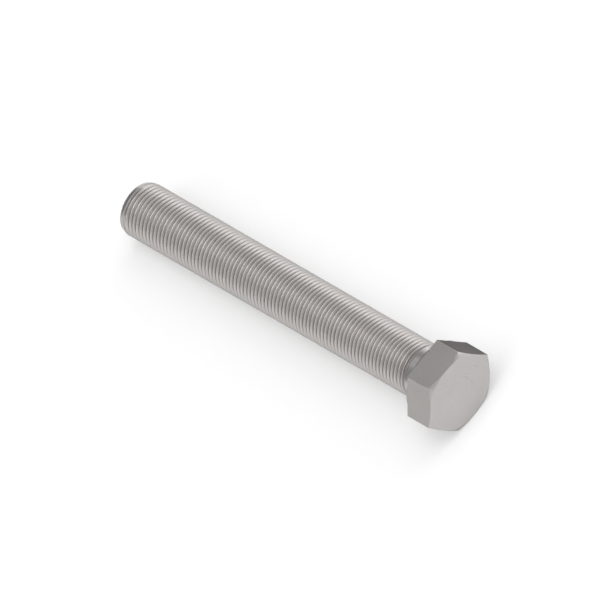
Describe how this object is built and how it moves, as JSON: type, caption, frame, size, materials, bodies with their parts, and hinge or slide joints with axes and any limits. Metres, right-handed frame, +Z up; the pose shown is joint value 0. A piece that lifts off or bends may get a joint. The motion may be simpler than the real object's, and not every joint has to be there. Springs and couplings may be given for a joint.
{
  "type": "hexagon head bolt",
  "caption": "Hexagon head bolt with a turned washer face and a fine right-hand thread along the whole shank, lying on one flat.",
  "frame": {"origin": "centre of the bearing face, the ring under the head that presses on the work, on the bolt's axis", "axes": "+X along the bolt's axis from the head to the point, +Z up, at right angles to the flat of the head that is on top; the flat opposite it is the one the bolt lies on, and two corners of the hexagon point along +Y and -Y"},
  "size_m": [0.0921, 0.0196, 0.017],
  "materials": {
    "bright_steel": "satin, turned and rolled"
  },
  "bodies": {
    "root": {"bolt": "bright_steel"}
  },
  "joints": []
}
